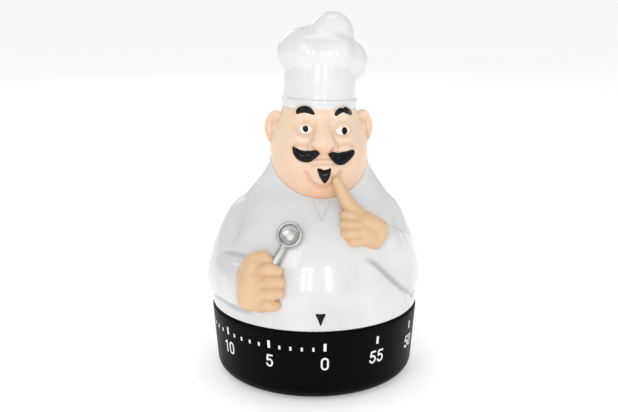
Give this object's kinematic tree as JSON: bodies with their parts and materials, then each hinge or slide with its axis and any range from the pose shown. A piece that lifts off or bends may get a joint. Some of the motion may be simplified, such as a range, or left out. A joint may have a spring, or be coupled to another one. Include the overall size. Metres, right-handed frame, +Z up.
{
  "type": "kitchen timer",
  "caption": "Wind-up kitchen timer: a glossy moulded cook figure in a tall hat turns as the knob on a round dial base that holds the clockwork, hammer and bell.",
  "frame": {"origin": "centre of the flat underside of the foot pad, on the turning axis", "axes": "+Z up along the turning axis, front of the figure and the dial zero face -Y, +X to the viewer's right"},
  "size_m": [0.069, 0.0666, 0.1151],
  "materials": {
    "base_plastic": "satin moulded black",
    "foam": "soft foam, matt",
    "brass": "stamped",
    "steel": "turned",
    "spring_steel": "blued",
    "bell_metal": "nickel plated",
    "white_plastic": "glossy white",
    "hat_plastic": "glossy white",
    "skin_paint": "glossy paint",
    "hand_paint": "glossy paint",
    "spoon_paint": "silver paint",
    "inner_plastic": "natural"
  },
  "bodies": {
    "base": {"base_shell": "base_plastic", "base_pad": "foam", "base_screws": "steel", "lower_plate": "brass", "upper_plate": "brass", "pillars": "steel", "pillar_nuts": "steel", "mainspring": "spring_steel", "bell": "bell_metal", "bell_bushing": "brass", "bell_nut": "brass", "hammer_spring": "spring_steel"},
    "figure": {"body_front": "white_plastic", "body_back": "white_plastic", "head": "skin_paint", "hat": "hat_plastic", "left_hand": "hand_paint", "right_hand": "hand_paint", "spoon": "spoon_paint", "hub_plate": "inner_plastic", "main_arbor": "steel", "main_wheel": "brass", "ratchet_wheel": "steel", "click": "steel", "stop_cam": "steel"},
    "second": {"second_pinion": "steel", "second_wheel": "brass"},
    "third": {"third_pinion": "steel", "third_wheel": "brass"},
    "escape": {"escape_pinion": "steel", "escape_wheel": "brass"},
    "balance": {"pallet_lever": "steel", "balance_ring": "brass"},
    "hammer": {"hammer_arm": "steel", "hammer_head": "brass"},
    "trip": {"trip_lever": "steel"}
  },
  "joints": [
    {"name": "figure_turn", "type": "hinge", "parent": "base", "child": "figure", "pos_m": [0, 0, 0.0236], "axis": [0, 0, 1], "range_deg": [-354, 0]},
    {"name": "second_turn", "type": "hinge", "parent": "base", "child": "second", "pos_m": [0, 0.0144, 0.0092], "axis": [0, 0, 1], "continuous": true},
    {"name": "third_turn", "type": "hinge", "parent": "base", "child": "third", "pos_m": [0.01278, 0.01372, 0.0092], "axis": [0, 0, 1], "continuous": true},
    {"name": "escape_turn", "type": "hinge", "parent": "base", "child": "escape", "pos_m": [0.01637, 0.0046, 0.0092], "axis": [0, 0, 1], "continuous": true},
    {"name": "balance_swing", "type": "hinge", "parent": "base", "child": "balance", "pos_m": [0.01697, -0.00097, 0.0092], "axis": [0, 0, 1], "range_deg": [-6, 6]},
    {"name": "hammer_swing", "type": "hinge", "parent": "base", "child": "hammer", "pos_m": [-0.0038, -0.0142, 0.0092], "axis": [0, 0, 1], "range_deg": [-2, 12], "stiffness_Nm_per_rad": 0.001},
    {"name": "trip_lift", "type": "hinge", "parent": "base", "child": "trip", "pos_m": [-0.01379, -0.01077, 0.0092], "axis": [0, 0, 1], "range_deg": [0, 5]}
  ],
  "couplings": [
    {"joint": "second_turn", "follows": "figure_turn", "ratio": -8},
    {"joint": "third_turn", "follows": "figure_turn", "ratio": 56},
    {"joint": "escape_turn", "follows": "figure_turn", "ratio": -336}
  ]
}
